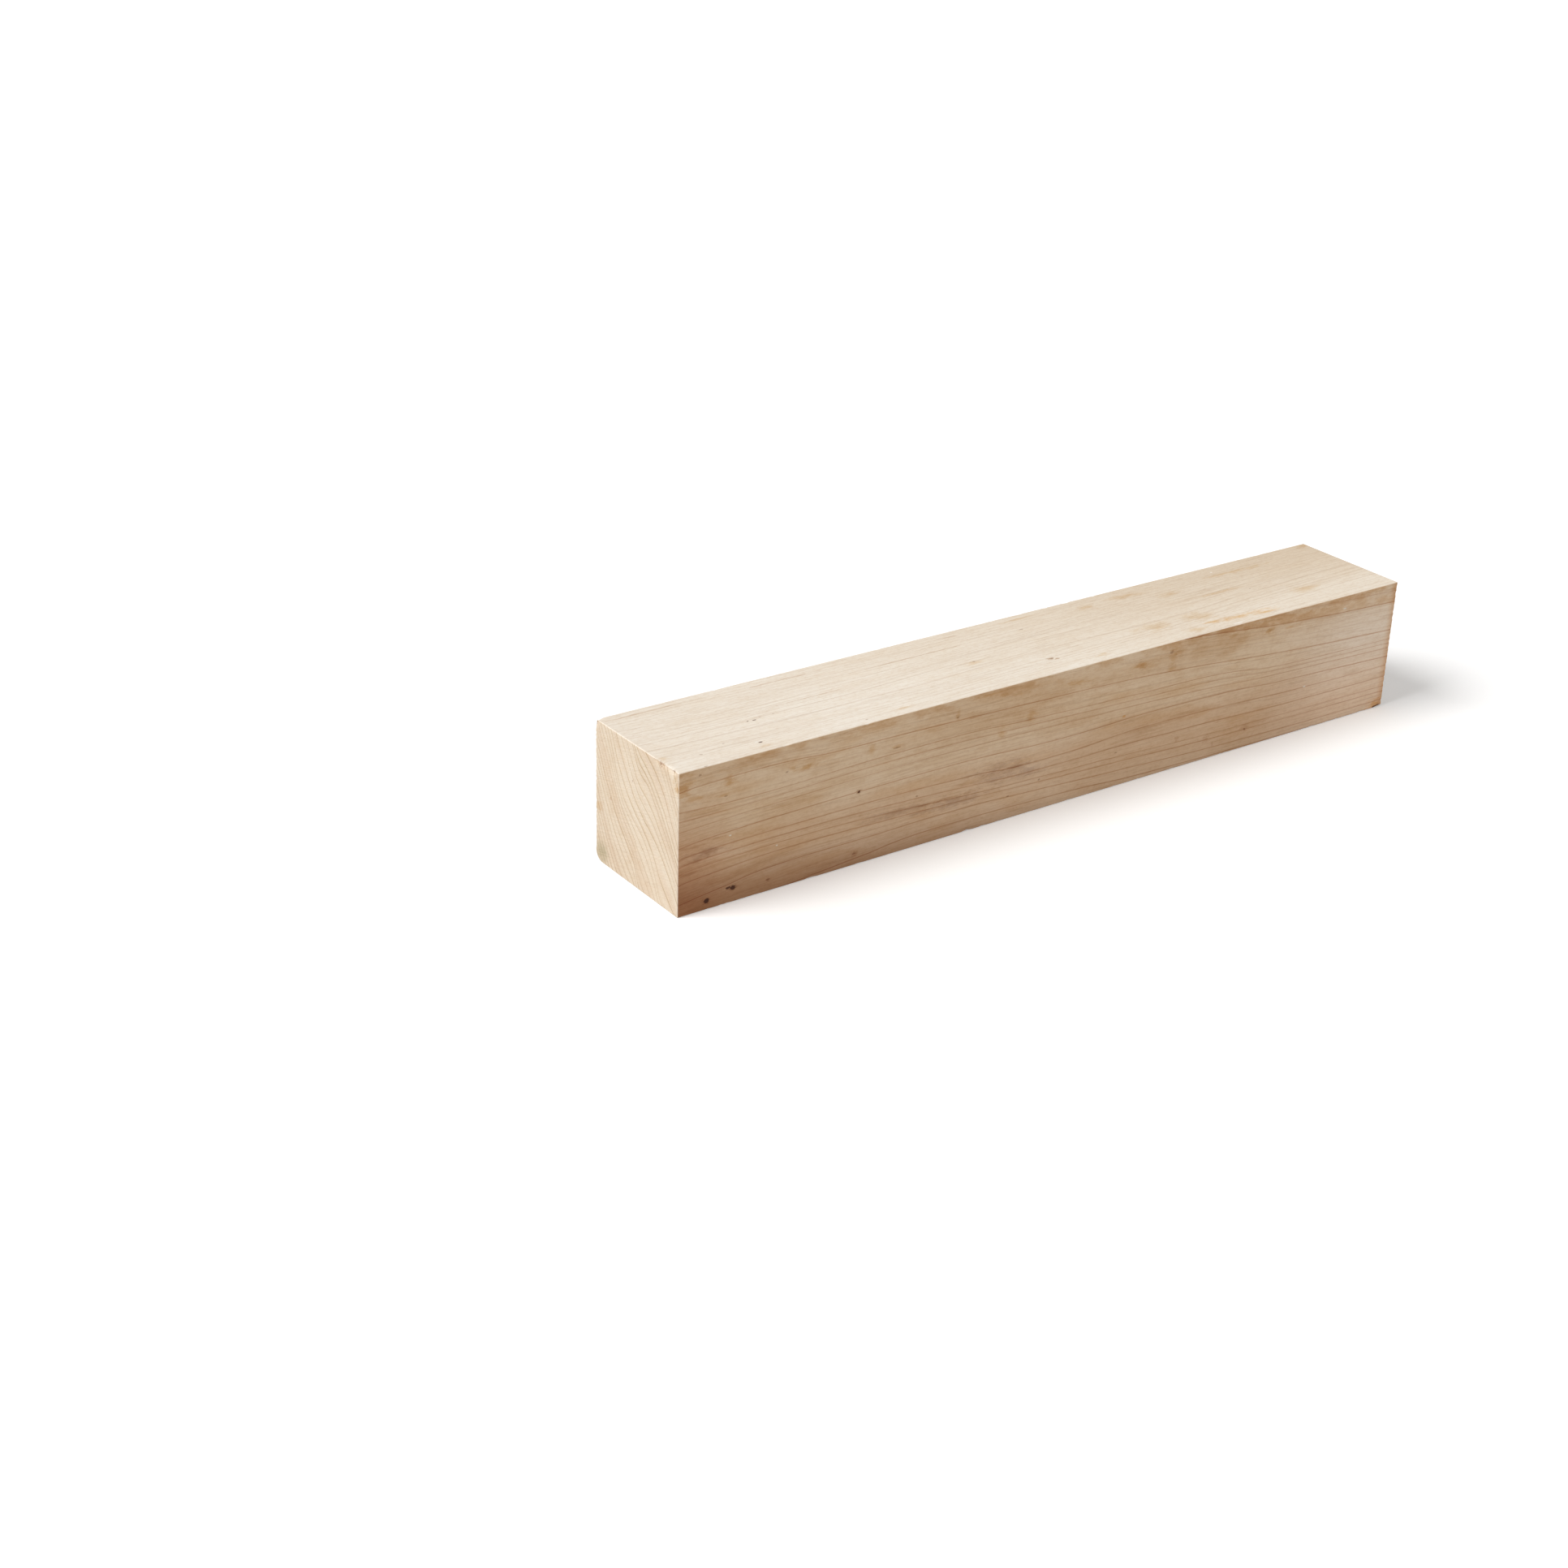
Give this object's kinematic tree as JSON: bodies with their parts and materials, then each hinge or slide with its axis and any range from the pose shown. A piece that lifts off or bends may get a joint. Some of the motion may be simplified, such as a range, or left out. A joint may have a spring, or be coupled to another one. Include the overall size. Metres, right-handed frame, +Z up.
{
  "type": "wood turning blank",
  "caption": "Long square block of pale hardwood with sawn ends, mounted between lathe centres and turned into a spindle, leg or handle.",
  "frame": {"origin": "middle of the long face that the blank lies on", "axes": "+X along the grain towards the end with the split corner, +Y across the blank to the rear face, +Z up"},
  "size_m": [0.305, 0.047, 0.048],
  "materials": {
    "pale_wood": "bare, machine-planed faces and sawn end grain, matt to faintly silky"
  },
  "bodies": {
    "root": {"blank": "pale_wood"}
  },
  "joints": []
}
